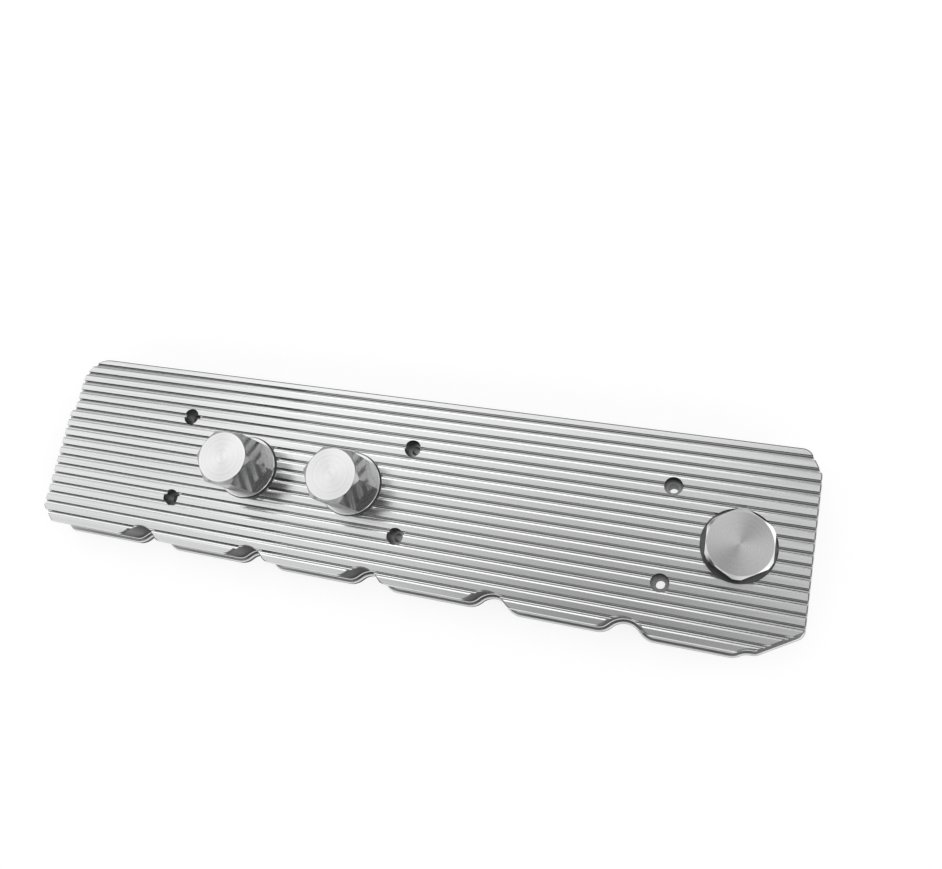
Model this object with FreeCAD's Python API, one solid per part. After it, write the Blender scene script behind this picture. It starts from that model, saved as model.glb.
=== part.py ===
import FreeCAD, Part
import math
import os

# Engine valve cover milled from one block, with two hex port caps, a fill cap and two baffle plates.
# Millimetres. Origin: centre of the flange outline on the gasket face. +X runs along the length
# towards the fill cap, +Y towards the straight side, +Z out of the ribbed plate.

# Lengths along the cover. One scallop stands between each two cylinders of a six-cylinder engine.
cylinder_pitch = 120.0
scallop_count = 5
left_end_length = 124.8
right_end_length = 146.8
half_length = (left_end_length + (scallop_count - 1) * cylinder_pitch + right_end_length) / 2.0
first_scallop_x = -half_length + left_end_length

# Outer outline of the flange
half_width = 92.85
left_inset = 4.6
left_step_from_straight = 54.6
left_step_radius = 11.0
left_step_angle = 36.0
top_left_radius = 32.5
bottom_left_chamfer = 17.5
chamfer_corner_radius = 9.0
scallop_depth = 11.6
scallop_angle = 46.0
scallop_shoulder_radius = 17.8
scallop_bottom_radius = 16.3
right_step_from_end = 58.2
right_step_depth = 5.1
right_step_radius = 15.0
right_step_angle = 32.0
right_diagonal_from_end = 37.1
right_diagonal_angle = 31.4
right_diagonal_radius = 9.0
right_bottom_radius = 10.0
right_chamfer_width = 23.85
right_chamfer_angle = 60.0
right_chamfer_low_radius = 9.0
right_chamfer_top_radius = 14.0

# Section of the cover
height = 42.5
plate_thickness = 14.0
flange_thickness = 6.5
flange_edge_radius = 2.5
wall_inset = 4.8
wall_foot_radius = 1.5
plate_edge_chamfer = 1.0
pocket_inset = 8.4
ceiling_z = height - plate_thickness
pocket_ceiling_radius = 3.0
least_pocket_corner = 5.0

# Left end of the pocket: a wall that leans inwards, with a ledge beside the wider part of the flange
left_end_extra = 1.9
end_wall_lean = 10.5
end_corner_growth = 6.0
end_piece_length = 45.0
ledge_z = 15.0
ledge_edge_radius = 6.0
ledge_overlap = 0.05

# Rib grooves in the plate, round at the bottom
groove_pitch = 10.0
groove_width = 3.8
groove_depth = 3.5
first_groove_margin = 11.8
last_groove_margin = 12.0
first_groove_y = half_width - first_groove_margin
groove_count = int((first_groove_y + half_width - last_groove_margin) / groove_pitch) + 1
groove_floor_z = height - groove_depth

# Holes for the bolts that hold the cover down, their bosses and the webs of the bosses
bolt_from_scallop = 24.5
bolt_x = [first_scallop_x + bolt_from_scallop + 2.0 * cylinder_pitch * index for index in range(3)]
bolt_y_straight = half_width - 52.6
bolt_y_scalloped = -half_width + 49.65
bolt_hole_radius = 4.25
counterbore_radius = 8.0
counterbore_depth = 12.0
boss_end_z = 4.0
boss_end_radius = 9.5
boss_foot_radius = 11.2
web_width = 10.0
web_flare = 6.0

# Port caps, screwed into the plate from above
cap_row_y = (bolt_y_straight + bolt_y_scalloped) / 2.0 - 0.45
port_cap_shares = [0.3167, 0.7765]
port_cap_x = [bolt_x[0] + share * 2.0 * cylinder_pitch for share in port_cap_shares]
port_cap_turn = [2.0, -1.5]
port_cap_across_flats = 48.0
port_cap_top_radius = 23.7
port_cap_height = 50.0
port_cap_chamfer_angle = 30.0
port_cap_flange_radius = 29.9
port_cap_flange_thickness = 2.0
port_cap_edge = 0.4
port_thread_radius = 8.0
port_seat_z = height

# Fill cap, screwed into the plate from above
fill_cap_from_end = 63.3
fill_cap_x = half_length - fill_cap_from_end
fill_cap_turn = 31.6
fill_cap_across_flats = 54.0
fill_cap_corner_radius = 29.3
fill_cap_top_radius = 26.6
fill_cap_height = 18.0
fill_cap_chamfer_angle = 30.0
fill_cap_edge = 0.6
fill_thread_radius = 18.0
fill_spotface_depth = 4.0
fill_seat_z = height - fill_spotface_depth

# Seal rings under the caps, the round pads they lie on and the spotface of the fill cap
seal_width = 2.6
port_seal_height = 1.8
port_seal_inner_radius = 28.0
port_pad_margin = 0.4
port_pad_radius = port_seal_inner_radius + seal_width + port_pad_margin
fill_seal_height = 2.0
fill_seal_inner_radius = 21.0
fill_spotface_radius = 31.5
seal_bore_clearance = 0.3

# Baffle plates under the port caps and the chambers behind them
baffle_from_cap = [4.5, 3.25]
baffle_x = [port_cap_x[index] + baffle_from_cap[index] for index in range(2)]
baffle_y = cap_row_y + 4.775
baffle_length_x = 67.3
baffle_end_margin = 24.65
baffle_length_y = 2.0 * (half_width - baffle_end_margin)
baffle_corner_radius = 5.0
baffle_thickness = 2.0
baffle_sink = 0.4
baffle_gap = 0.5
baffle_ledge = 5.0
baffle_face_z = ceiling_z + baffle_sink
baffle_seat_z = baffle_face_z + baffle_thickness
chamber_depth = 5.0
chamber_ceiling_z = ceiling_z + chamber_depth
vent_radius = 2.5
vent_x = [-24.0, -12.0, 12.0, 24.0]
vent_from_end = 8.2
vent_y = [-baffle_length_y / 2.0 + vent_from_end, baffle_length_y / 2.0 - vent_from_end]

# Screws of the baffle plates
screw_x = [-16.3, 16.3]
screw_y = -4.6
screw_thread_radius = 2.0
screw_thread_length = 6.0
screw_head_radius = 3.5
screw_head_height = 4.0
screw_head_edge = 0.4
screw_socket_across_flats = 3.0
screw_socket_depth = 2.0
screw_hole_extra_depth = 0.6
screw_passing_radius = 2.25
screw_post_radius = 5.0

# Broken edge round the top discs of the caps
cap_disc_edge = 0.4

# Clearances
thread_clearance = 0.05
past = 1.0


def flange_outline(left_extra):
    """Corners of the flange outline, anticlockwise, as x, y and corner radius."""
    left_x = -half_length + left_extra
    corners = [(left_x + bottom_left_chamfer, -half_width, chamfer_corner_radius)]
    slope = math.radians(scallop_angle)
    peak = scallop_depth + scallop_bottom_radius * (1.0 / math.cos(slope) - 1.0)
    for index in range(scallop_count):
        centre_x = first_scallop_x + index * cylinder_pitch
        reach = peak / math.tan(slope)
        corners.append((centre_x - reach, -half_width, scallop_shoulder_radius))
        corners.append((centre_x, -half_width + peak, scallop_bottom_radius))
        corners.append((centre_x + reach, -half_width, scallop_shoulder_radius))
    step = math.radians(right_step_angle)
    step_start_x = half_length - right_step_from_end + right_step_radius * math.tan(step / 2.0)
    step_end_x = step_start_x + right_step_depth / math.tan(step)
    step_y = -half_width + right_step_depth
    corners.append((step_start_x, -half_width, right_step_radius))
    corners.append((step_end_x, step_y, right_step_radius))
    diagonal_x = half_length - right_diagonal_from_end
    corners.append((diagonal_x, step_y, right_diagonal_radius))
    rise = right_diagonal_from_end * math.tan(math.radians(right_diagonal_angle))
    corners.append((half_length, step_y + rise, right_bottom_radius))
    corners.append((half_length, half_width - right_chamfer_width, right_chamfer_low_radius))
    run = right_chamfer_width / math.tan(math.radians(right_chamfer_angle))
    corners.append((half_length - run, half_width, right_chamfer_top_radius))
    corners.append((left_x + left_inset, half_width, top_left_radius))
    return corners


def stepped_left_side(corners, left_extra):
    """Adds the step of the left side and its chamfer to the outline."""
    left_x = -half_length + left_extra
    step = math.radians(left_step_angle)
    upper_y = half_width - left_step_from_straight - left_step_radius * math.tan(step / 2.0)
    lower_y = upper_y - left_inset / math.tan(step)
    corners.append((left_x + left_inset, upper_y, left_step_radius))
    corners.append((left_x, lower_y, left_step_radius))
    corners.append((left_x, -half_width + bottom_left_chamfer, chamfer_corner_radius))
    return corners


def plain_left_side(corners, left_extra):
    """Closes the outline by one straight left side in line with the inset part."""
    left_x = -half_length + left_extra
    end_y = -half_width + bottom_left_chamfer - left_inset
    corners.append((left_x + left_inset, end_y, chamfer_corner_radius))
    return corners


def inset_corners(corners, inset, least_radius):
    """Moves every side inwards by inset and keeps the arcs concentric."""
    moved = []
    count = len(corners)
    for index in range(count):
        before = corners[index - 1]
        here = corners[index]
        after = corners[(index + 1) % count]
        way_in = unit_step(before, here)
        way_out = unit_step(here, after)
        turn = way_in[0] * way_out[1] - way_in[1] * way_out[0]
        along = way_in[0] * way_out[0] + way_in[1] * way_out[1]
        share = inset / (1.0 + along)
        x = here[0] + share * (-way_in[1] - way_out[1])
        y = here[1] + share * (way_in[0] + way_out[0])
        if turn > 0.0:
            radius = max(here[2] - inset, least_radius)
        else:
            radius = here[2] + inset
        moved.append((x, y, radius))
    return moved


def unit_step(start, end):
    """Direction from one corner to the next."""
    length = math.hypot(end[0] - start[0], end[1] - start[1])
    return ((end[0] - start[0]) / length, (end[1] - start[1]) / length)


def rounded_wire(corners, z):
    """Closed outline through the corners, each rounded by its own radius or sharp where that is zero."""
    starts = []
    middles = []
    ends = []
    count = len(corners)
    for index in range(count):
        here = corners[index]
        way_in = unit_step(corners[index - 1], here)
        way_out = unit_step(here, corners[(index + 1) % count])
        turn = way_in[0] * way_out[1] - way_in[1] * way_out[0]
        along = way_in[0] * way_out[0] + way_in[1] * way_out[1]
        half_turn = abs(math.atan2(turn, along)) / 2.0
        reach = here[2] * math.tan(half_turn)
        inward = unit_step((0.0, 0.0), (way_out[0] - way_in[0], way_out[1] - way_in[1]))
        sagitta = here[2] * (1.0 / math.cos(half_turn) - 1.0)
        starts.append(FreeCAD.Vector(here[0] - way_in[0] * reach, here[1] - way_in[1] * reach, z))
        ends.append(FreeCAD.Vector(here[0] + way_out[0] * reach, here[1] + way_out[1] * reach, z))
        middles.append(FreeCAD.Vector(here[0] + inward[0] * sagitta, here[1] + inward[1] * sagitta, z))
    edges = []
    for index in range(count):
        if corners[index][2] > 0.0:
            edges.append(Part.Arc(starts[index], middles[index], ends[index]).toShape())
        edges.append(Part.LineSegment(ends[index], starts[(index + 1) % count]).toShape())
    return Part.Wire(edges)


def rounded_face(corners, z):
    """Flat face inside the rounded outline."""
    return Part.Face(rounded_wire(corners, z))


def prism(corners, bottom_z, top_z):
    """Upright solid between two heights over a rounded outline."""
    return rounded_face(corners, bottom_z).extrude(FreeCAD.Vector(0, 0, top_z - bottom_z))


def flat_edges(shape, z):
    """Edges of a shape that lie in one horizontal plane."""
    chosen = []
    for edge in shape.Edges:
        box = edge.BoundBox
        if abs(box.ZMin - z) < 1e-4 and abs(box.ZMax - z) < 1e-4:
            chosen.append(edge)
    return chosen


def cylinder(radius, x, y, bottom_z, top_z):
    """Upright cylinder between two heights."""
    return Part.makeCylinder(radius, top_z - bottom_z, FreeCAD.Vector(x, y, bottom_z))


def rounded_rectangle(x, y, length_x, length_y, radius):
    """Corners of an upright rectangle about a centre."""
    right = length_x / 2.0
    far = length_y / 2.0
    corners = []
    for side_x, side_y in [(-right, -far), (right, -far), (right, far), (-right, far)]:
        corners.append((x + side_x, y + side_y, radius))
    return corners


def hexagon_corners(x, y, across_flats, turn):
    """Sharp corners of a hexagon, the first one at the given angle from +X."""
    reach = across_flats / math.sqrt(3.0)
    points = []
    for index in range(6):
        angle = math.radians(turn + 60.0 * index)
        points.append(FreeCAD.Vector(x + reach * math.cos(angle), y + reach * math.sin(angle), 0))
    return points


def hexagon_prism(x, y, across_flats, turn, bottom_z, top_z):
    """Upright six-sided bar between two heights."""
    points = hexagon_corners(x, y, across_flats, turn)
    points.append(points[0])
    face = Part.Face(Part.makePolygon(points))
    face.translate(FreeCAD.Vector(0, 0, bottom_z))
    return face.extrude(FreeCAD.Vector(0, 0, top_z - bottom_z))


def turned(profile, x, y):
    """Solid turned about an upright axis from a profile of radius and height."""
    points = [FreeCAD.Vector(radius, 0, z) for radius, z in profile]
    points.append(points[0])
    face = Part.Face(Part.makePolygon(points))
    solid = face.revolve(FreeCAD.Vector(0, 0, 0), FreeCAD.Vector(0, 0, 1), 360)
    solid.translate(FreeCAD.Vector(x, y, 0))
    return solid


def outer_block():
    """Flange and walls as one solid, with their edges and the foot of the wall rounded."""
    outline = stepped_left_side(flange_outline(0.0), 0.0)
    flange = prism(outline, 0.0, flange_thickness)
    flange = flange.makeFillet(flange_edge_radius, flat_edges(flange, flange_thickness))
    walls = prism(inset_corners(outline, wall_inset, 1.0), 0.0, height)
    walls = walls.makeChamfer(plate_edge_chamfer, flat_edges(walls, height))
    block = flange.fuse(walls).removeSplitter()
    between = (flange_edge_radius + wall_inset) / 2.0
    inside = rounded_face(inset_corners(outline, between, 1.0), flange_thickness)
    foot = []
    for edge in flat_edges(block, flange_thickness):
        middle = edge.valueAt((edge.FirstParameter + edge.LastParameter) / 2.0)
        if inside.isInside(middle, 0.01, True):
            foot.append(edge)
    return block.makeFillet(wall_foot_radius, foot)


def end_wall_x(z):
    """X of the leaning left wall of the pocket at a height."""
    rim_x = -half_length + left_end_extra + left_inset + pocket_inset
    return rim_x + end_wall_lean * z / ceiling_z


def end_section(z):
    """Outline of the left end piece of the pocket at a height."""
    left_x = end_wall_x(z)
    join_x = end_wall_x(0.0) + end_piece_length
    wall_y = half_width - pocket_inset
    far_radius = top_left_radius - pocket_inset + end_corner_growth * z / ceiling_z
    corners = [
        (left_x, -wall_y, least_pocket_corner),
        (join_x, -wall_y, 0.0),
        (join_x, wall_y, 0.0),
        (left_x, wall_y, far_radius),
    ]
    return rounded_wire(corners, z)


def ledge_profile():
    """Side view of the space over the ledge, rounded where the ledge runs into the leaning wall."""
    outside_x = -half_length - past
    inside_x = end_wall_x(ceiling_z)
    corner = FreeCAD.Vector(end_wall_x(ledge_z) + ledge_overlap, 0, ledge_z)
    down = FreeCAD.Vector(end_wall_x(ceiling_z) - end_wall_x(0.0), 0, ceiling_z)
    down.normalize()
    back = FreeCAD.Vector(-1, 0, 0)
    half_angle = down.getAngle(back) / 2.0
    start = corner + back * (ledge_edge_radius / math.tan(half_angle))
    end = corner + down * (ledge_edge_radius / math.tan(half_angle))
    inward = back + down
    inward.normalize()
    middle = corner + inward * (ledge_edge_radius * (1.0 / math.sin(half_angle) - 1.0))
    low_outside = FreeCAD.Vector(outside_x, 0, -past)
    high_outside = FreeCAD.Vector(outside_x, 0, ledge_z)
    high_inside = FreeCAD.Vector(inside_x, 0, end.z)
    low_inside = FreeCAD.Vector(inside_x, 0, -past)
    edges = [
        Part.LineSegment(low_outside, high_outside).toShape(),
        Part.LineSegment(high_outside, start).toShape(),
        Part.Arc(start, middle, end).toShape(),
        Part.LineSegment(end, high_inside).toShape(),
        Part.LineSegment(high_inside, low_inside).toShape(),
        Part.LineSegment(low_inside, low_outside).toShape(),
    ]
    return Part.Wire(edges)


def ledge_space():
    """Space over the ledge of the left end, inside the stepped outline of the flange."""
    outline = stepped_left_side(flange_outline(left_end_extra), left_end_extra)
    rim = prism(inset_corners(outline, pocket_inset, 1.0), -past, ceiling_z)
    face = Part.Face(ledge_profile())
    face.translate(FreeCAD.Vector(0, -half_width, 0))
    return rim.common(face.extrude(FreeCAD.Vector(0, 2.0 * half_width, 0)))


def pocket():
    """Hollow under the plate with its leaning left end and the ledge there."""
    outline = plain_left_side(flange_outline(left_end_extra), left_end_extra)
    straight = prism(inset_corners(outline, pocket_inset, least_pocket_corner), -past, ceiling_z)
    join_x = end_wall_x(0.0) + end_piece_length
    beyond = Part.makeBox(end_piece_length + 2.0 * past, 2.0 * half_width, height + 2.0 * past)
    beyond.translate(FreeCAD.Vector(join_x - end_piece_length - 2.0 * past, -half_width, -2.0 * past))
    end_piece = Part.makeLoft([end_section(-past), end_section(ceiling_z)], True, True)
    deep = straight.cut(beyond).fuse(end_piece.common(straight)).removeSplitter()
    deep = deep.makeFillet(pocket_ceiling_radius, flat_edges(deep, ceiling_z))
    return [deep, ledge_space()]


def groove_profile(y):
    """Cross-section of one groove: upright sides and a round bottom."""
    x = -half_length - past
    half = groove_width / 2.0
    top_z = height + past
    round_z = groove_floor_z + half
    near_top = FreeCAD.Vector(x, y - half, top_z)
    near_low = FreeCAD.Vector(x, y - half, round_z)
    bottom = FreeCAD.Vector(x, y, groove_floor_z)
    far_low = FreeCAD.Vector(x, y + half, round_z)
    far_top = FreeCAD.Vector(x, y + half, top_z)
    edges = [
        Part.LineSegment(near_top, near_low).toShape(),
        Part.Arc(near_low, bottom, far_low).toShape(),
        Part.LineSegment(far_low, far_top).toShape(),
        Part.LineSegment(far_top, near_top).toShape(),
    ]
    return Part.Face(Part.Wire(edges))


def grooves():
    """Straight grooves between the ribs, through the whole length but for the pads of the port caps."""
    pads = []
    for x in port_cap_x:
        pads.append(cylinder(port_pad_radius, x, cap_row_y, groove_floor_z - past, height + 2.0 * past))
    cuts = []
    for index in range(groove_count):
        face = groove_profile(first_groove_y - index * groove_pitch)
        cuts.append(face.extrude(FreeCAD.Vector(2.0 * (half_length + past), 0, 0)).cut(pads))
    return cuts


def web(x, boss_y, wall_y):
    """Web from a boss to the wall beside it, widened where it meets the wall."""
    side = 1.0 if wall_y > boss_y else -1.0
    half = web_width / 2.0
    flare_y = wall_y - side * web_flare
    end_y = wall_y + side * 2.0
    bow = web_flare * (1.0 - math.sqrt(0.5))
    z = boss_end_z
    edges = []
    for hand in [-1.0, 1.0]:
        start = FreeCAD.Vector(x + hand * half, boss_y, z)
        bend = FreeCAD.Vector(x + hand * half, flare_y, z)
        middle = FreeCAD.Vector(x + hand * (half + bow), wall_y - side * bow, z)
        wide = FreeCAD.Vector(x + hand * (half + web_flare), wall_y, z)
        end = FreeCAD.Vector(x + hand * (half + web_flare), end_y, z)
        edges.append(Part.LineSegment(start, bend).toShape())
        edges.append(Part.Arc(bend, middle, wide).toShape())
        edges.append(Part.LineSegment(wide, end).toShape())
    boss_side = [FreeCAD.Vector(x + hand * half, boss_y, z) for hand in [-1.0, 1.0]]
    wall_side = [FreeCAD.Vector(x + hand * (half + web_flare), end_y, z) for hand in [-1.0, 1.0]]
    edges.append(Part.LineSegment(boss_side[0], boss_side[1]).toShape())
    edges.append(Part.LineSegment(wall_side[0], wall_side[1]).toShape())
    outline = Part.Wire(Part.__sortEdges__(edges))
    return Part.Face(outline).extrude(FreeCAD.Vector(0, 0, ceiling_z + past - z))


def scalloped_wall_y(x):
    """Y of the inner face of the scalloped wall at a place along the length."""
    wall = -half_width + pocket_inset
    slope = math.radians(scallop_angle)
    for index in range(scallop_count):
        centre_x = first_scallop_x + index * cylinder_pitch
        reach = scallop_depth / math.tan(slope) + scallop_shoulder_radius * math.tan(slope / 2.0)
        away = abs(x - centre_x)
        if away < reach:
            wall = -half_width + pocket_inset + scallop_depth * (1.0 - away / reach)
    return wall


def bosses():
    """Bosses of the bolt holes with their webs, inside the pocket."""
    added = []
    for x in bolt_x:
        for y in [bolt_y_straight, bolt_y_scalloped]:
            reach = ceiling_z + past - boss_end_z
            foot = Part.makeCone(boss_end_radius, boss_foot_radius, reach, FreeCAD.Vector(x, y, boss_end_z))
            added.append(foot)
        added.append(web(x, bolt_y_straight, half_width - pocket_inset))
        added.append(web(x, bolt_y_scalloped, scalloped_wall_y(x)))
    return added


def bolt_holes():
    """Through holes and counterbores of the bolts."""
    cuts = []
    for x in bolt_x:
        for y in [bolt_y_straight, bolt_y_scalloped]:
            cuts.append(cylinder(bolt_hole_radius, x, y, -past, height))
            cuts.append(cylinder(counterbore_radius, x, y, height - counterbore_depth, height + past))
    return cuts


def cap_seats():
    """Threaded holes under the three caps and the spotface of the fill cap."""
    y = cap_row_y
    cuts = [cylinder(fill_spotface_radius, fill_cap_x, y, fill_seat_z, height + past)]
    places = [(x, port_thread_radius) for x in port_cap_x]
    places.append((fill_cap_x, fill_thread_radius))
    for x, radius in places:
        cuts.append(cylinder(radius + thread_clearance, x, y, ceiling_z - past, height + past))
    return cuts


def chamber(x):
    """Recess for one baffle plate and the chamber behind it, around two screw posts."""
    gap = 2.0 * baffle_gap
    radius = baffle_corner_radius + baffle_gap
    seat = rounded_rectangle(x, baffle_y, baffle_length_x + gap, baffle_length_y + gap, radius)
    recess = prism(seat, ceiling_z - past, baffle_seat_z)
    inside_x = baffle_length_x - 2.0 * baffle_ledge
    inside_y = baffle_length_y - 2.0 * baffle_ledge
    hollow = prism(rounded_rectangle(x, baffle_y, inside_x, inside_y, radius), baffle_seat_z, chamber_ceiling_z)
    for offset in screw_x:
        post = cylinder(screw_post_radius, x + offset, baffle_y + screw_y, ceiling_z, chamber_ceiling_z + past)
        hollow = hollow.cut(post)
    return [recess, hollow]


def screw_holes():
    """Tapped holes of the baffle screws."""
    cuts = []
    top_z = baffle_face_z + screw_thread_length + screw_hole_extra_depth
    for x in baffle_x:
        for offset in screw_x:
            radius = screw_thread_radius + thread_clearance
            cuts.append(cylinder(radius, x + offset, baffle_y + screw_y, ceiling_z, top_z))
    return cuts


def cover_body():
    """The milled cover."""
    body = outer_block().cut(pocket())
    body = body.fuse(bosses()).removeSplitter()
    cuts = grooves() + cap_seats() + bolt_holes()
    for x in baffle_x:
        cuts = cuts + chamber(x)
    cuts = cuts + screw_holes()
    return body.cut(cuts).removeSplitter()


def chamfer_cone(x, y, top_radius, top_z, angle, reach):
    """Turned envelope whose top edge slopes down outside the top disc, which has a small broken edge."""
    outer = top_radius + reach
    drop = cap_disc_edge + reach * math.tan(math.radians(angle))
    profile = [
        (0, 0),
        (outer, 0),
        (outer, top_z - drop),
        (top_radius, top_z - cap_disc_edge),
        (top_radius - cap_disc_edge, top_z),
        (0, top_z),
    ]
    return turned(profile, x, y)


def port_cap(x, y, turn):
    """Tall hex cap with a round flange, a shoulder inside the seal and a threaded stub."""
    seat_z = port_seat_z
    flange_z = seat_z + port_seal_height
    hex_z = flange_z + port_cap_flange_thickness
    top_z = height + port_cap_height
    bar = hexagon_prism(x, y, port_cap_across_flats, turn, hex_z, top_z)
    reach = port_cap_across_flats / math.sqrt(3.0) - port_cap_top_radius + past
    bar = bar.common(chamfer_cone(x, y, port_cap_top_radius, top_z, port_cap_chamfer_angle, reach))
    shoulder = port_seal_inner_radius - seal_bore_clearance
    edge = port_cap_edge
    stub_z = chamber_ceiling_z
    profile = [
        (0, stub_z),
        (port_thread_radius - edge, stub_z),
        (port_thread_radius, stub_z + edge),
        (port_thread_radius, seat_z),
        (shoulder, seat_z),
        (shoulder, flange_z),
        (port_cap_flange_radius, flange_z),
        (port_cap_flange_radius, hex_z - edge),
        (port_cap_flange_radius - edge, hex_z),
        (0, hex_z),
    ]
    return bar.fuse(turned(profile, x, y)).removeSplitter()


def fill_cap():
    """Low hex cap with a shoulder inside the seal and a threaded stub flush with the ceiling."""
    seat_z = fill_seat_z
    hex_z = seat_z + fill_seal_height
    top_z = height + fill_cap_height
    x = fill_cap_x
    y = cap_row_y
    bar = hexagon_prism(x, y, fill_cap_across_flats, fill_cap_turn, hex_z, top_z)
    reach = fill_cap_corner_radius - fill_cap_top_radius
    bar = bar.common(chamfer_cone(x, y, fill_cap_top_radius, top_z, fill_cap_chamfer_angle, reach))
    shoulder = fill_seal_inner_radius - seal_bore_clearance
    edge = fill_cap_edge
    profile = [
        (0, ceiling_z),
        (fill_thread_radius - edge, ceiling_z),
        (fill_thread_radius, ceiling_z + edge),
        (fill_thread_radius, seat_z),
        (shoulder, seat_z),
        (shoulder, hex_z),
        (0, hex_z),
    ]
    return bar.fuse(turned(profile, x, y)).removeSplitter()


def seal_ring(x, y, inner_radius, bottom_z, ring_height):
    """Squeezed rubber ring: flat above and below, round inside and outside."""
    half = ring_height / 2.0
    inner = inner_radius + half
    outer = inner_radius + seal_width - half
    low_in = FreeCAD.Vector(inner, 0, bottom_z)
    low_out = FreeCAD.Vector(outer, 0, bottom_z)
    high_out = FreeCAD.Vector(outer, 0, bottom_z + ring_height)
    high_in = FreeCAD.Vector(inner, 0, bottom_z + ring_height)
    far_out = FreeCAD.Vector(outer + half, 0, bottom_z + half)
    far_in = FreeCAD.Vector(inner - half, 0, bottom_z + half)
    edges = [
        Part.LineSegment(low_in, low_out).toShape(),
        Part.Arc(low_out, far_out, high_out).toShape(),
        Part.LineSegment(high_out, high_in).toShape(),
        Part.Arc(high_in, far_in, low_in).toShape(),
    ]
    ring = Part.Face(Part.Wire(edges)).revolve(FreeCAD.Vector(0, 0, 0), FreeCAD.Vector(0, 0, 1), 360)
    ring.translate(FreeCAD.Vector(x, y, 0))
    return ring


def baffle_plate(x):
    """Thin plate with a row of vents at both ends and two screw holes."""
    outline = rounded_rectangle(x, baffle_y, baffle_length_x, baffle_length_y, baffle_corner_radius)
    plate = prism(outline, baffle_face_z, baffle_seat_z)
    cuts = []
    for offset_x in vent_x:
        for offset_y in vent_y:
            place = (x + offset_x, baffle_y + offset_y)
            cuts.append(cylinder(vent_radius, place[0], place[1], ceiling_z, chamber_ceiling_z))
    for offset_x in screw_x:
        place = (x + offset_x, baffle_y + screw_y)
        cuts.append(cylinder(screw_passing_radius, place[0], place[1], ceiling_z, chamber_ceiling_z))
    return plate.cut(cuts)


def baffle_screw(x, y):
    """Socket head screw, head down, thread up into the cover."""
    face_z = baffle_face_z
    head_z = face_z - screw_head_height
    tip_z = face_z + screw_thread_length
    tip_edge = 0.3
    profile = [
        (0, head_z),
        (screw_head_radius - screw_head_edge, head_z),
        (screw_head_radius, head_z + screw_head_edge),
        (screw_head_radius, face_z),
        (screw_thread_radius, face_z),
        (screw_thread_radius, tip_z - tip_edge),
        (screw_thread_radius - tip_edge, tip_z),
        (0, tip_z),
    ]
    socket_top = head_z + screw_socket_depth
    socket = hexagon_prism(x, y, screw_socket_across_flats, 0.0, head_z - past, socket_top)
    return turned(profile, x, y).cut(socket)


def save(name, shape):
    """Writes one piece as a solid."""
    solid = shape.Solids[0]
    if len(shape.Solids) != 1 or not solid.isValid():
        raise ValueError(name + " isn't one valid solid")
    solid.exportStep(os.path.join("parts", name + ".step"))


def main():
    os.makedirs("parts", exist_ok=True)
    save("cover_body", cover_body())
    for index in range(2):
        number = str(index + 1)
        x = port_cap_x[index]
        y = cap_row_y
        save("port_cap_" + number, port_cap(x, y, port_cap_turn[index]))
        ring = seal_ring(x, y, port_seal_inner_radius, port_seat_z, port_seal_height)
        save("port_cap_seal_" + number, ring)
        save("baffle_plate_" + number, baffle_plate(baffle_x[index]))
    save("fill_cap", fill_cap())
    ring = seal_ring(fill_cap_x, cap_row_y, fill_seal_inner_radius, fill_seat_z, fill_seal_height)
    save("fill_cap_seal", ring)
    number = 0
    for x in baffle_x:
        for offset in screw_x:
            number = number + 1
            save("baffle_screw_" + str(number), baffle_screw(x + offset, baffle_y + screw_y))


main()
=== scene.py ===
import bpy
from mathutils import Matrix, Vector


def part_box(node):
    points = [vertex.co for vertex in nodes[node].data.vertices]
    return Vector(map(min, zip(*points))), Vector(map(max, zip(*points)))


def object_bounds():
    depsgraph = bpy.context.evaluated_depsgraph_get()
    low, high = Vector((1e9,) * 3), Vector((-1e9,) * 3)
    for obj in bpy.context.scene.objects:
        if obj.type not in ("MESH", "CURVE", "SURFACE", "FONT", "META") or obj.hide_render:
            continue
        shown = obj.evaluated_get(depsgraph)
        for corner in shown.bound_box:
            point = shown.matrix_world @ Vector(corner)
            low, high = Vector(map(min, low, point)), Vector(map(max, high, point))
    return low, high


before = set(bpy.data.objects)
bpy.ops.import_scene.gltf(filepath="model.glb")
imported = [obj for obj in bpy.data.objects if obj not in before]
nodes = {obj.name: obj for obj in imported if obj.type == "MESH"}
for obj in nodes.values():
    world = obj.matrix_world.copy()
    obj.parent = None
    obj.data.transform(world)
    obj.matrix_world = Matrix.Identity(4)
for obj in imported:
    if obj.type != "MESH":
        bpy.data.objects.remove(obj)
cad_low, cad_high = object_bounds()

# Camera of the photograph, solved in the row frame. Pixels of a 942 x 869 picture.
IMAGE_WIDTH = 942
FOCAL_PIXELS = 850.2
SENSOR_WIDTH = 36.0
CAMERA_PLACE = Vector((0.28128, -0.09091, 0.78305))
CAMERA_RIGHT = Vector((0.95314, 0.186915, -0.23788))
CAMERA_DOWN = Vector((0.130134, -0.963152, -0.235378))
CAMERA_FORWARD = Vector((-0.27311, 0.193392, -0.942343))
CAMERA_CLIP = (0.01, 50.0)

# Floor, in metres. The glow is the part of its white that needs no lamp.
FLOOR_SIZE = 6.0
FLOOR_GAP = 0.0004
FLOOR_COLOUR = 0.9
FLOOR_ROUGH = 0.9
FLOOR_GLOW = 0.7
FLOOR_GLOW_STRENGTH = 1.15

# Shape of the cover, in metres. A reach is the radius round an axis.
PLATE_TOP = 0.0425
FLANGE_HIGH = 0.0085
OUTER_WALL_Y = 0.056
GROOVE_DEPTH = 0.0035
GROOVE_PITCH = 0.010
GROOVE_COUNT = 17
FIRST_GROOVE_Y = 0.08105
GROOVE_HALF = 0.0020
PAD_REACH = 0.031
BOLT_X = (-0.2265, 0.0135, 0.2535)
BOLT_Y = (0.04025, -0.0432)
BOLT_REACH = 0.0082
SPOTFACE_REACH = 0.0316

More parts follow.
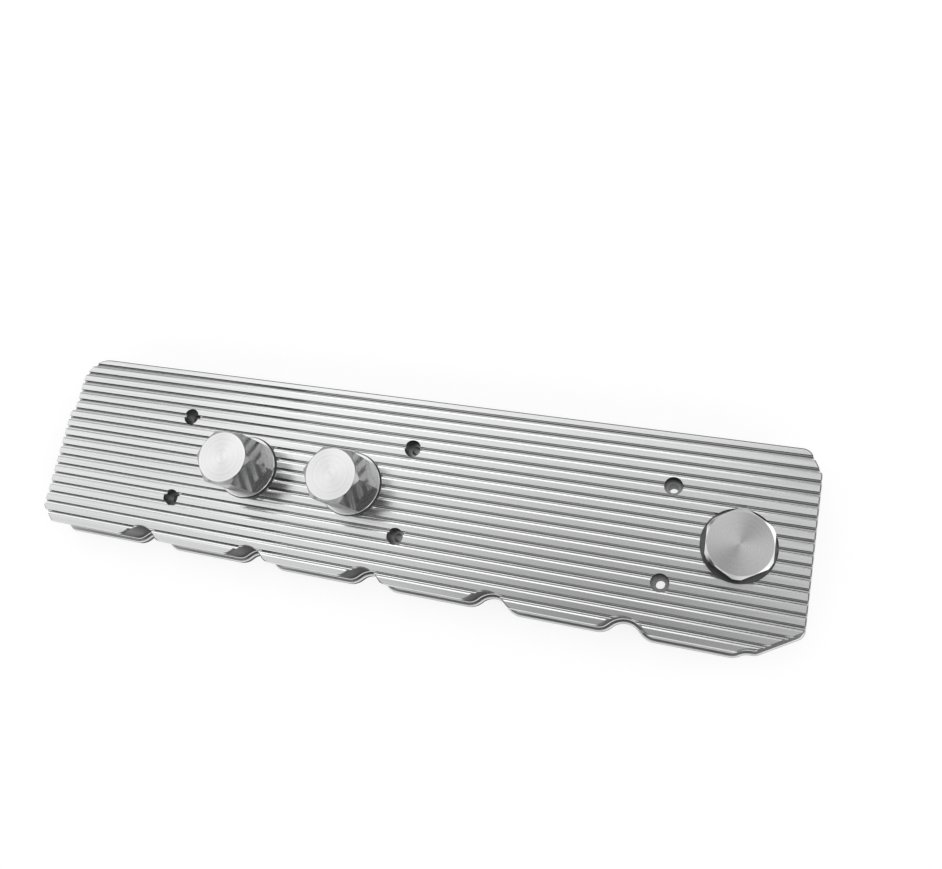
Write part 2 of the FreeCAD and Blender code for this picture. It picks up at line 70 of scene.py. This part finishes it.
# Heights at which the grooves and the top of the ribs begin, in metres
GROOVE_BEGINS = (PLATE_TOP - GROOVE_DEPTH - 0.0006, PLATE_TOP - GROOVE_DEPTH)
LAND_BEGINS = (PLATE_TOP - 0.0002, PLATE_TOP - 0.0001)

# Limits of the product of a place, in metres, and the normal, beyond which a wall is an outer one
OUTER_SIDE = 0.015
OUTER_END = 0.24

# Offsets across a groove from its middle, in metres: the strip of the rib that is shaded as an
# eased edge, the side of the groove with painted shade, and its flank that is shaded as level
# and painted white as a painted highlight
EASED_RISE = (-0.0034, -0.0029)
PAINTED_SHADE_RISE = (-0.0007, 0.0002)
PAINTED_SHADE_FALL = (0.0011, 0.0016)
FLANK_RISE = (-0.0024, -0.0019)
FLANK_FALL = (-0.0009, -0.0003)

# Part of the length, in metres, over which the shading of the left end gives way to the rest
LEFT_END = (-0.22, -0.08)

# What is added to the normal: sideways on an eased edge, upwards on a flank
EASED_SLOPE = 0.16
FLANK_LEVEL = 4.0

# Ranges of the upright part of the normal that tell walls, slopes and level faces apart
WALL_NORMAL = (0.25, 0.6)
STEEP_NORMAL = (0.68, 0.93)
RIM_NORMAL = (0.9, 0.8)
LEVEL_NORMAL = (0.5, 0.8)
CAP_TOP_NORMAL = (0.93, 0.97)

# Spans for a mask that falls instead of rising, and the middle of a noise, where its values lie
FALLING = (1.0, 0.0)
NOISE_MIDDLE = (0.3, 0.7)

# Tones of the milled cover. Pairs go from the low to the high end of the cutter lines, and from
# the left end to the rest for the side of the grooves with painted shade. Walls, bolt holes,
# spotface, rim, flange and steep groove sides are darkened as painted shade, and the groove
# floors are lightened as a painted highlight.
LAND_TONES = (0.80, 0.885)
# Walls: painted shade, darker than the lands and darkest on the outer walls; cutter lines vary the
# tone
INNER_WALL_PAINTED_SHADE_TONES = (0.46, 0.56)
OUTER_WALL_PAINTED_SHADE_TONES = (0.20, 0.28)
# Bolt holes: painted shade in the bores, with cutter lines varying the tone
BOLT_HOLE_PAINTED_SHADE_TONES = (0.32, 0.44)
# Painted shade on one side of each groove, lighter at the left end than in the rest
GROOVE_PAINTED_SHADE_TONES = (0.66, 0.40)
# Painted highlight on the groove floors, and painted shade on their steep sides
GROOVE_FLOOR_PAINTED_HIGHLIGHT = 0.95
GROOVE_STEEP_PAINTED_SHADE = 0.70
# Painted shade along the outer edge of the ribbed plate
RIM_PAINTED_SHADE = 0.16
# Painted shade on the level faces of the flange under the plate
FLANGE_PAINTED_SHADE = 0.55
# Spotface round the fill cap: painted shade in the gap
SPOTFACE_PAINTED_SHADE = 0.20
EDGE_TINT = 0.35
COVER_WARMTH = -0.004

# Roughness of the milled cover, and the depth of its cutter lines
LAND_ROUGH = (0.25, 0.19)
GROOVE_ROUGH = (0.20, 0.15)
SATIN_ROUGH = (0.36, 0.29)
SUNK_ROUGH = 0.34
COVER_BUMP = (0.10, 0.00012)

# Stretch of the noises of the milled cover: lines per metre along each axis
LENGTHWISE_STRETCH = (5.0, 2300.0, 300.0)
BROAD_STRETCH = (2.5, 420.0, 60.0)
LEVEL_STRETCH = (14.0, 14.0, 1700.0)
CLOUD_STRETCH = (26.0, 40.0, 40.0)

# Caps: brightness of the turned top, its roughness, and the painted shade of the chamfer as a share
# of it
PORT_CAP_LOOK = (0.87, 0.20, 0.42)
FILL_CAP_LOOK = (0.70, 0.26, 0.85)
# Painted shade: the flats darker than the turned top, as a share of it
FLATS_PAINTED_SHADE = 0.68
FLATS_ROUGH = (0.17, 0.10)
CAP_TONE_STEP = 0.03
CAP_DULLER = 0.04
CAP_SMOOTHER = 0.03
CAP_ANISOTROPY = 0.7
CAP_ANISOTROPY_TURN = 0.25
CAP_BUMP = (0.03, 0.00006)
RING_STRETCH = (6500.0, 1.0, 1.0)
BROAD_RING_STRETCH = (380.0, 1.0, 1.0)
BROAD_RING_SHARE = 0.4
DRAWN_STRETCH = (1500.0, 1500.0, 20.0)

# Black rubber
RUBBER_GRAIN_STRETCH = (1400.0, 1400.0, 1400.0)
RUBBER_CLOUD_STRETCH = (120.0, 120.0, 120.0)
RUBBER_TONES = (0.010, 0.022)
RUBBER_ROUGH = (0.62, 0.48)
RUBBER_BUMP = (0.2, 0.0001)

# Galvanised sheet: crystals, warped by a noise, under rolling lines
CRYSTAL_WARP_STRETCH = (260.0, 260.0, 260.0)
CRYSTAL_WARP = (0.004, 0.004, 0.0)
CRYSTAL_SCALE = 160.0
ROLLED_STRETCH = (900.0, 9.0, 9.0)
ROLLED_SHARE = 0.3
SHEET_RANGE = (0.1, 0.9)
SHEET_TONES = (0.60, 0.80)
SHEET_ROUGH = (0.26, 0.44)
SHEET_WARMTH = -0.008
SHEET_BUMP = (0.06, 0.0001)

# Plain steel of the screws
STEEL_STRETCH = (1500.0, 1500.0, 1500.0)
STEEL_TONES = (0.42, 0.62)
STEEL_ROUGH = (0.36, 0.24)
STEEL_BUMP = (0.1, 0.0001)

# Studio round the object: brightness by direction. Pairs of a direction part and a brightness.
STUDIO_BY_X = [(-1.0, 1.60), (-0.84, 1.45), (-0.66, 0.96), (-0.48, 1.14), (-0.38, 1.12),
               (-0.28, 0.90), (-0.18, 0.76), (-0.05, 0.72), (0.08, 0.80), (0.32, 0.85),
               (0.52, 0.9), (0.62, 1.8), (0.78, 2.0), (0.90, 1.5), (1.0, 1.3)]
STUDIO_BY_Y = [(-1.0, 1.0), (-0.90, 1.2), (-0.84, 1.45), (-0.66, 1.45), (-0.58, 1.0),
               (-0.3, 0.9), (0.0, 0.93), (0.08, 0.95), (0.16, 0.94), (0.3, 1.1), (1.0, 1.3)]
TABLE_TOP = 2.0

# Shares of the brightness that two dark cards and a dark spot overhead take away
FRONT_CARD_BY_X = [(-0.78, 0.0), (-0.68, 1.0), (0.54, 1.0), (0.64, 0.0)]
FRONT_CARD_BY_Y = [(-0.66, 0.0), (-0.56, 0.92), (-0.14, 0.92), (-0.05, 0.40), (0.01, 0.08),
                   (0.06, 0.0)]
BACK_CARD_BY_X = [(-0.84, 0.0), (-0.68, 1.0), (0.50, 1.0), (0.62, 0.0)]
BACK_CARD_BY_Y = [(0.22, 0.0), (0.32, 0.70), (0.52, 0.86), (0.66, 0.40), (0.95, 0.2)]
SPOT_BY_X = [(-0.62, 0.0), (-0.42, 0.18), (-0.25, 0.45), (-0.12, 0.80), (0.0, 0.90),
             (0.08, 0.60), (0.14, 0.2), (0.3, 0.0)]
SPOT_BY_Y = [(-0.5, 0.2), (-0.1, 0.6), (0.035, 0.72), (0.10, 0.42), (0.20, 0.0)]

# A bright strip that is added, and the heights between which the studio gives way to white
STRIP_BY_X = [(-0.56, 0.0), (-0.44, 1.0), (0.03, 1.0), (0.09, 0.0)]
STRIP_BY_Y = [(0.24, 0.0), (0.31, 1.0), (0.54, 1.0), (0.61, 0.0)]
STRIP_STRENGTH = 1.3
HORIZON = (0.16, 0.34)


def grey(value):
    """Neutral colour."""
    return (value, value, value, 1.0)


class Net:
    """Node tree of a material or the world. Values are numbers or outputs; calls return outputs."""

    def __init__(self, tree):
        self.nodes = tree.nodes
        self.links = tree.links

    def give(self, socket, value):
        """Sets an input to a number, or links an output to it."""
        if isinstance(value, (int, float)):
            socket.default_value = value
        else:
            self.links.new(value, socket)

    def math(self, operation, *values):
        """Math node."""
        node = self.nodes.new("ShaderNodeMath")
        node.operation = operation
        for place, value in enumerate(values):
            self.give(node.inputs[place], value)
        return node.outputs[0]

    def times(self, *values):
        """Product of two or more values."""
        product = values[0]
        for value in values[1:]:
            product = self.math("MULTIPLY", product, value)
        return product

    def without(self, share):
        """What a share leaves of 1."""
        return self.math("SUBTRACT", 1.0, share)

    def blend(self, share, first, second):
        """Mix of two values by a share from 0 to 1."""
        node = self.nodes.new("ShaderNodeMix")
        node.data_type = "FLOAT"
        for place, value in zip((0, 2, 3), (share, first, second)):
            self.give(node.inputs[place], value)
        return node.outputs[0]

    def span(self, source, places, values=(0.0, 1.0)):
        """Maps a value smoothly from one range to another."""
        node = self.nodes.new("ShaderNodeMapRange")
        node.interpolation_type = "SMOOTHSTEP"
        node.inputs["From Min"].default_value = places[0]
        node.inputs["From Max"].default_value = places[1]
        node.inputs["To Min"].default_value = values[0]
        node.inputs["To Max"].default_value = values[1]
        self.links.new(source, node.inputs["Value"])
        return node.outputs["Result"]

    def graded(self, noise, values):
        """Spreads the middle of a noise over a range of tones or roughness."""
        return self.span(noise, NOISE_MIDDLE, values)

    def parts(self, vector):
        """X, Y and Z of a vector."""
        node = self.nodes.new("ShaderNodeSeparateXYZ")
        self.links.new(vector, node.inputs[0])
        return node.outputs[0], node.outputs[1], node.outputs[2]

    def combine(self, *values):
        """Vector of up to three values."""
        node = self.nodes.new("ShaderNodeCombineXYZ")
        for place, value in enumerate(values):
            self.give(node.inputs[place], value)
        return node.outputs[0]

    def surface(self):
        """Place and normal on the piece, both in its own axes."""
        node = self.nodes.new("ShaderNodeTexCoord")
        return node.outputs["Object"], node.outputs["Normal"]

    def noise(self, source, stretch, detail=2.0):
        """Noise whose space is stretched along the axes, for cutter lines and grain."""
        mapping = self.nodes.new("ShaderNodeMapping")
        mapping.inputs["Scale"].default_value = stretch
        node = self.nodes.new("ShaderNodeTexNoise")
        node.inputs["Scale"].default_value = 1.0
        node.inputs["Detail"].default_value = detail
        self.links.new(source, mapping.inputs["Vector"])
        self.links.new(mapping.outputs["Vector"], node.inputs["Vector"])
        return node.outputs["Fac"]

    def table(self, source, pairs):
        """Value looked up by a direction part from -1 to 1, with smooth steps between the pairs."""
        along = self.nodes.new("ShaderNodeMapRange")
        along.inputs["From Min"].default_value = -1.0
        along.inputs["From Max"].default_value = 1.0
        self.links.new(source, along.inputs["Value"])
        node = self.nodes.new("ShaderNodeValToRGB")
        node.color_ramp.interpolation = "EASE"
        elements = node.color_ramp.elements
        while len(elements) < len(pairs):
            elements.new(0.5)
        for element, (place, value) in zip(elements, pairs):
            element.position = (place + 1.0) / 2.0
            element.color = grey(value / TABLE_TOP)
        self.links.new(along.outputs["Result"], node.inputs["Fac"])
        return self.times(node.outputs["Color"], TABLE_TOP)

    def grey_of(self, value, warmth=0.0):
        """Colour made of one brightness, a little cooler or warmer than neutral."""
        node = self.nodes.new("ShaderNodeCombineColor")
        for place, part in enumerate((1.0 + warmth, 1.0, 1.0 - warmth)):
            self.links.new(self.times(value, part), node.inputs[place])
        return node.outputs["Color"]

    def bump(self, height, strength, distance):
        """Normal bumped by a height, in metres."""
        node = self.nodes.new("ShaderNodeBump")
        node.inputs["Strength"].default_value = strength
        node.inputs["Distance"].default_value = distance
        self.links.new(height, node.inputs["Height"])
        return node.outputs["Normal"]


def new_material(name):
    """Node material with a Principled shader; returns the material, its net and the shader."""
    material = bpy.data.materials.new(name)
    material.use_nodes = True
    net = Net(material.node_tree)
    return material, net, net.nodes["Principled BSDF"]


def near_round(net, x, y, centre, reach):
    """1 inside an upright cylinder, otherwise 0."""
    along = net.math("SUBTRACT", x, centre[0])
    across = net.math("SUBTRACT", y, centre[1])
    squares = net.math("ADD", net.times(along, along), net.times(across, across))
    return net.math("LESS_THAN", squares, reach * reach)


def near_holes(net, x, y):
    """1 in the bolt holes, otherwise 0, and the same for the spotface of the fill cap."""
    fill_low, fill_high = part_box("fill_cap")
    spotface = near_round(net, x, y, (fill_low + fill_high) / 2.0, SPOTFACE_REACH)
    found = 0.0
    for bolt_x in BOLT_X:
        for bolt_y in BOLT_Y:
            hole = near_round(net, x, y, (bolt_x, bolt_y), BOLT_REACH)
            found = net.math("MAXIMUM", found, hole)
    return found, spotface


def groove_offset(net, x, y):
    """Offset across the ribs from the middle of the nearest groove, and 1 where one is cut."""
    steps = net.math("DIVIDE", net.math("SUBTRACT", y, FIRST_GROOVE_Y), GROOVE_PITCH)
    nearest = net.math("ROUND", steps)
    offset = net.times(net.math("SUBTRACT", steps, nearest), GROOVE_PITCH)
    grooved = net.math("GREATER_THAN", nearest, 0.5 - GROOVE_COUNT)
    for name in ("port_cap_1", "port_cap_2"):
        low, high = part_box(name)
        pad = near_round(net, x, y, (low + high) / 2.0, PAD_REACH)
        grooved = net.times(grooved, net.without(pad))
    return offset, grooved


def outward(net, x, y, facing_x, facing_y):
    """1 on the outer side of the walls, otherwise 0."""
    far_y = net.math("GREATER_THAN", net.math("ABSOLUTE", y), OUTER_WALL_Y)
    long_side = net.math("GREATER_THAN", net.times(y, facing_y), OUTER_SIDE)
    short_side = net.math("GREATER_THAN", net.times(x, facing_x), OUTER_END)
    return net.math("MAXIMUM", net.times(far_y, long_side), short_side)


def cutter_lines(net, place, wall):
    """Cutter lines, lengthwise or level round the walls, the tone they give, and a cloud."""
    lengthwise = net.noise(place, LENGTHWISE_STRETCH, 3.0)
    broad = net.noise(place, BROAD_STRETCH)
    level = net.noise(place, LEVEL_STRETCH, 3.0)
    cloud = net.noise(place, CLOUD_STRETCH, 3.0)
    lines = net.blend(wall, lengthwise, level)
    return lines, net.blend(0.5, lines, net.blend(wall, broad, cloud)), cloud


def painted_groove_light(net, x, offset, grooved, inside_groove, upright):
    """Painted highlight and shade inside the grooves, and the mask of the flank shaded as level at
    the left end.
    """
    # Painted shade on one side of each groove, lighter towards the left end
    painted_shade_side = net.times(grooved, net.span(offset, PAINTED_SHADE_RISE),
                          net.span(offset, PAINTED_SHADE_FALL, FALLING))
    steep = net.span(upright, STEEP_NORMAL, FALLING)
    # Painted highlight on the groove floors, painted shade on their steep sides
    bright = net.blend(steep, GROOVE_FLOOR_PAINTED_HIGHLIGHT, GROOVE_STEEP_PAINTED_SHADE)
    bright = net.blend(painted_shade_side, bright, net.span(x, LEFT_END, GROOVE_PAINTED_SHADE_TONES))
    flank = net.times(net.span(offset, FLANK_RISE), net.span(offset, FLANK_FALL, FALLING),
                      grooved, inside_groove, net.span(x, LEFT_END, FALLING))
    # Painted highlight: the flank at the left end is painted white
    return net.blend(flank, bright, 1.0), flank


def tilted_normal(net, relief, offset, ribbed_land, flank):
    """Normal tilted along one edge of each rib and turned upwards on the flank."""
    strip = net.times(net.span(offset, EASED_RISE), net.math("LESS_THAN", offset, 0.0))
    eased = net.times(ribbed_land, strip)
    tilted = net.nodes.new("ShaderNodeVectorMath")
    tilted.operation = "ADD"
    net.links.new(relief, tilted.inputs[0])
    tilt = net.combine(0.0, net.times(eased, EASED_SLOPE), net.times(flank, FLANK_LEVEL))
    net.links.new(tilt, tilted.inputs[1])
    unit = net.nodes.new("ShaderNodeVectorMath")
    unit.operation = "NORMALIZE"
    net.links.new(tilted.outputs[0], unit.inputs[0])
    return unit.outputs[0]


def milled_cover():
    """Milled aluminium: cutter lines on plate, grooves and walls, satin inside, with painted shade
    on the walls, holes, spotface, rim, flange and one side of each groove, and a painted highlight
    on the groove floors.
    """
    material, net, shader = new_material("milled_cover")
    place, normal = net.surface()
    x, y, z = net.parts(place)
    facing_x, facing_y, facing_z = net.parts(normal)
    upright = net.math("ABSOLUTE", facing_z)
    wall = net.span(upright, WALL_NORMAL, FALLING)
    above = net.span(z, GROOVE_BEGINS)
    land = net.span(z, LAND_BEGINS)
    inside_groove = net.times(above, net.without(land))
    outer = outward(net, x, y, facing_x, facing_y)
    offset, grooved = groove_offset(net, x, y)
    lines, tone, cloud = cutter_lines(net, place, wall)

    # Painted shade: walls darker than the lands, the outer walls darker still
    wall_painted_shade = net.blend(outer, net.graded(tone, INNER_WALL_PAINTED_SHADE_TONES),
                            net.graded(tone, OUTER_WALL_PAINTED_SHADE_TONES))
    bright = net.blend(wall, net.graded(tone, LAND_TONES), wall_painted_shade)
    groove_painted_light, flank = painted_groove_light(net, x, offset, grooved, inside_groove, upright)
    # Painted highlight and shade inside the grooves
    bright = net.blend(inside_groove, bright, groove_painted_light)
    on_land = net.math("GREATER_THAN", net.math("ABSOLUTE", offset), GROOVE_HALF)
    # Painted shade: the sloping outer edge of the plate is darkened
    rim_shade_mask = net.times(on_land, outer, above, net.span(upright, RIM_NORMAL))
    bright = net.blend(rim_shade_mask, bright, RIM_PAINTED_SHADE)
    # Painted shade on the level faces of the flange under the plate
    flange_shade_mask = net.times(net.span(facing_z, LEVEL_NORMAL), net.math("LESS_THAN", z, FLANGE_HIGH))
    bright = net.blend(flange_shade_mask, bright, FLANGE_PAINTED_SHADE)
    holes, spotface = near_holes(net, x, y)
    # Painted shade in the bolt holes and in the spotface round the fill cap
    sunk = net.times(net.math("MAXIMUM", holes, spotface), net.without(land))
    sunk_painted_shade = net.blend(spotface, net.graded(tone, BOLT_HOLE_PAINTED_SHADE_TONES), SPOTFACE_PAINTED_SHADE)
    bright = net.blend(sunk, bright, sunk_painted_shade)
    net.give(shader.inputs["Base Color"], net.grey_of(bright, COVER_WARMTH))

    ribbed = net.blend(land, net.graded(tone, GROOVE_ROUGH), net.graded(tone, LAND_ROUGH))
    rough = net.blend(above, net.graded(cloud, SATIN_ROUGH), ribbed)
    net.give(shader.inputs["Roughness"], net.blend(sunk, rough, SUNK_ROUGH))
    shader.inputs["Metallic"].default_value = 1.0
    shader.inputs["Specular Tint"].default_value = grey(EDGE_TINT)
    relief = net.bump(lines, *COVER_BUMP)
    tilted = tilted_normal(net, relief, offset, net.times(land, grooved), flank)
    net.give(shader.inputs["Normal"], tilted)
    return material


def turned_cap(name, centre, bright, dull, chamfer_painted_shade):
    """Turned and milled aluminium of a cap: rings on its round top, drawn lines on its flats, and
    painted shade that darkens the flats and chamfer.
    """
    material, net, shader = new_material(name)
    place, normal = net.surface()
    shift = net.nodes.new("ShaderNodeMapping")
    shift.inputs["Location"].default_value = (-centre[0], -centre[1], 0.0)
    net.links.new(place, shift.inputs["Vector"])
    x, y, _ = net.parts(shift.outputs["Vector"])
    squares = net.math("ADD", net.math("POWER", x, 2.0), net.math("POWER", y, 2.0))
    ring_place = net.combine(net.math("SQRT", squares))
    rings = net.noise(ring_place, RING_STRETCH)
    broad_rings = net.noise(ring_place, BROAD_RING_STRETCH, 1.0)
    drawn = net.noise(place, DRAWN_STRETCH)
    upright = net.math("ABSOLUTE", net.parts(normal)[2])
    flat_top = net.span(upright, CAP_TOP_NORMAL)
    lines = net.blend(flat_top, drawn, rings)
    tone = net.blend(BROAD_RING_SHARE, lines, broad_rings)

    # Painted shade: flats and chamfer darker than the turned top
    cap_painted_shade = net.blend(net.span(upright, LEVEL_NORMAL), FLATS_PAINTED_SHADE, chamfer_painted_shade)
    cap_painted_shade = net.blend(flat_top, cap_painted_shade, 1.0)
    top_bright = net.graded(tone, (bright - CAP_TONE_STEP, bright + CAP_TONE_STEP))
    net.give(shader.inputs["Base Color"], net.grey_of(net.times(top_bright, cap_painted_shade)))
    top_rough = net.graded(tone, (dull + CAP_DULLER, dull - CAP_SMOOTHER))
    rough = net.blend(flat_top, net.graded(tone, FLATS_ROUGH), top_rough)
    net.give(shader.inputs["Roughness"], rough)
    shader.inputs["Metallic"].default_value = 1.0
    shader.inputs["Anisotropic"].default_value = CAP_ANISOTROPY
    shader.inputs["Anisotropic Rotation"].default_value = CAP_ANISOTROPY_TURN
    tangent = net.nodes.new("ShaderNodeTangent")
    tangent.direction_type = "RADIAL"
    tangent.axis = "Z"
    net.give(shader.inputs["Tangent"], tangent.outputs["Tangent"])
    net.give(shader.inputs["Normal"], net.bump(lines, *CAP_BUMP))
    return material


def black_rubber():
    """Matt black rubber of the seals."""
    material, net, shader = new_material("black_rubber")
    place, _ = net.surface()
    grain = net.noise(place, RUBBER_GRAIN_STRETCH, 3.0)
    cloud = net.noise(place, RUBBER_CLOUD_STRETCH)
    net.give(shader.inputs["Base Color"], net.grey_of(net.graded(cloud, RUBBER_TONES)))
    net.give(shader.inputs["Roughness"], net.graded(grain, RUBBER_ROUGH))
    net.give(shader.inputs["Normal"], net.bump(grain, *RUBBER_BUMP))
    return material


def galvanised_sheet():
    """Zinc-coated sheet: crystals of different tone, with rolling lines over them."""
    material, net, shader = new_material("galvanised_sheet")
    place, _ = net.surface()
    moved = net.nodes.new("ShaderNodeVectorMath")
    moved.operation = "MULTIPLY_ADD"
    net.links.new(net.noise(place, CRYSTAL_WARP_STRETCH), moved.inputs[0])
    moved.inputs[1].default_value = CRYSTAL_WARP
    net.links.new(place, moved.inputs[2])
    cells = net.nodes.new("ShaderNodeTexVoronoi")
    cells.inputs["Scale"].default_value = CRYSTAL_SCALE
    net.links.new(moved.outputs[0], cells.inputs["Vector"])
    crystal = net.nodes.new("ShaderNodeSeparateColor")
    net.links.new(cells.outputs["Color"], crystal.inputs[0])
    rolled = net.noise(place, ROLLED_STRETCH)
    mixed = net.blend(ROLLED_SHARE, crystal.outputs[0], rolled)
    tone = net.span(mixed, SHEET_RANGE, SHEET_TONES)
    net.give(shader.inputs["Base Color"], net.grey_of(tone, SHEET_WARMTH))
    rough = net.span(crystal.outputs[1], (0.0, 1.0), SHEET_ROUGH)
    net.give(shader.inputs["Roughness"], rough)
    shader.inputs["Metallic"].default_value = 1.0
    net.give(shader.inputs["Normal"], net.bump(mixed, *SHEET_BUMP))
    return material


def plain_steel():
    """Steel of the screws, a little darker in its pores."""
    material, net, shader = new_material("plain_steel")
    place, _ = net.surface()
    grain = net.noise(place, STEEL_STRETCH, 3.0)
    net.give(shader.inputs["Base Color"], net.grey_of(net.graded(grain, STEEL_TONES)))
    net.give(shader.inputs["Roughness"], net.graded(grain, STEEL_ROUGH))
    shader.inputs["Metallic"].default_value = 1.0
    net.give(shader.inputs["Normal"], net.bump(grain, *STEEL_BUMP))
    return material


def dress(material, names):
    """Gives CAD nodes one material."""
    for name in names:
        mesh = nodes[name].data
        mesh.materials.clear()
        mesh.materials.append(material)


def dress_cap(name, look):
    """Gives a cap its own turned metal, centred on the cap."""
    low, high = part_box(name)
    dress(turned_cap("turned_" + name, (low + high) / 2.0, *look), [name])


def make_camera():
    """Camera of the lower view of the photograph."""
    data = bpy.data.cameras.new("camera")
    data.sensor_fit = "HORIZONTAL"
    data.sensor_width = SENSOR_WIDTH
    data.lens = FOCAL_PIXELS / IMAGE_WIDTH * SENSOR_WIDTH
    data.clip_start, data.clip_end = CAMERA_CLIP
    camera = bpy.data.objects.new("camera", data)
    turn = Matrix((CAMERA_RIGHT, -CAMERA_DOWN, -CAMERA_FORWARD)).transposed().to_4x4()
    camera.matrix_world = Matrix.Translation(CAMERA_PLACE) @ turn
    bpy.context.scene.collection.objects.link(camera)
    bpy.context.scene.camera = camera


def make_floor():
    """White floor under the cover, which keeps a faint shadow."""
    half = FLOOR_SIZE / 2.0
    mesh = bpy.data.meshes.new("floor")
    corners = [(-half, -half, 0), (half, -half, 0), (half, half, 0), (-half, half, 0)]
    mesh.from_pydata(corners, [], [(0, 1, 2, 3)])
    floor = bpy.data.objects.new("floor", mesh)
    floor.location.z = cad_low.z - FLOOR_GAP
    bpy.context.scene.collection.objects.link(floor)
    material, net, shader = new_material("white_floor")
    shader.inputs["Base Color"].default_value = grey(FLOOR_COLOUR)
    shader.inputs["Roughness"].default_value = FLOOR_ROUGH
    shader.inputs["Specular IOR Level"].default_value = 0.0
    path = net.nodes.new("ShaderNodeLightPath").outputs
    seen = net.math("MAXIMUM", path["Is Camera Ray"], path["Is Glossy Ray"])
    seen = net.math("MAXIMUM", seen, path["Is Transmission Ray"])
    glow = net.nodes.new("ShaderNodeEmission")
    glow.inputs["Color"].default_value = grey(1.0)
    glow.inputs["Strength"].default_value = FLOOR_GLOW_STRENGTH
    mix = net.nodes.new("ShaderNodeMixShader")
    net.links.new(net.times(seen, FLOOR_GLOW), mix.inputs[0])
    net.links.new(shader.outputs[0], mix.inputs[1])
    net.links.new(glow.outputs[0], mix.inputs[2])
    net.links.new(mix.outputs[0], net.nodes["Material Output"].inputs["Surface"])
    mesh.materials.append(material)


def make_world():
    """Soft studio by direction: dark cards, a dark spot, a bright strip and a white horizon."""
    world = bpy.data.worlds.new("world")
    bpy.context.scene.world = world
    world.use_nodes = True
    net = Net(world.node_tree)
    background = net.nodes["Background"]
    toward = net.nodes.new("ShaderNodeTexCoord").outputs["Generated"]
    x, y, z = net.parts(toward)
    room = net.times(net.table(x, STUDIO_BY_X), net.table(y, STUDIO_BY_Y))
    for by_x, by_y in ((FRONT_CARD_BY_X, FRONT_CARD_BY_Y), (BACK_CARD_BY_X, BACK_CARD_BY_Y),
                       (SPOT_BY_X, SPOT_BY_Y)):
        dark = net.times(net.table(x, by_x), net.table(y, by_y))
        room = net.times(room, net.without(dark))
    strip = net.times(net.table(x, STRIP_BY_X), net.table(y, STRIP_BY_Y))
    room = net.math("ADD", room, net.times(strip, STRIP_STRENGTH))
    room = net.blend(net.span(z, HORIZON, FALLING), room, 1.0)
    seen = net.nodes.new("ShaderNodeLightPath").outputs["Is Camera Ray"]
    net.give(background.inputs["Strength"], net.blend(seen, room, 1.0))
    background.inputs["Color"].default_value = grey(1.0)


dress(milled_cover(), ["cover_body"])
dress_cap("port_cap_1", PORT_CAP_LOOK)
dress_cap("port_cap_2", PORT_CAP_LOOK)
dress_cap("fill_cap", FILL_CAP_LOOK)
dress(black_rubber(), ["port_cap_seal_1", "port_cap_seal_2", "fill_cap_seal"])
dress(galvanised_sheet(), ["baffle_plate_1", "baffle_plate_2"])
dress(plain_steel(), ["baffle_screw_1", "baffle_screw_2", "baffle_screw_3", "baffle_screw_4"])
make_floor()
make_camera()
make_world()

bpy.context.scene.view_settings.view_transform = "Standard"
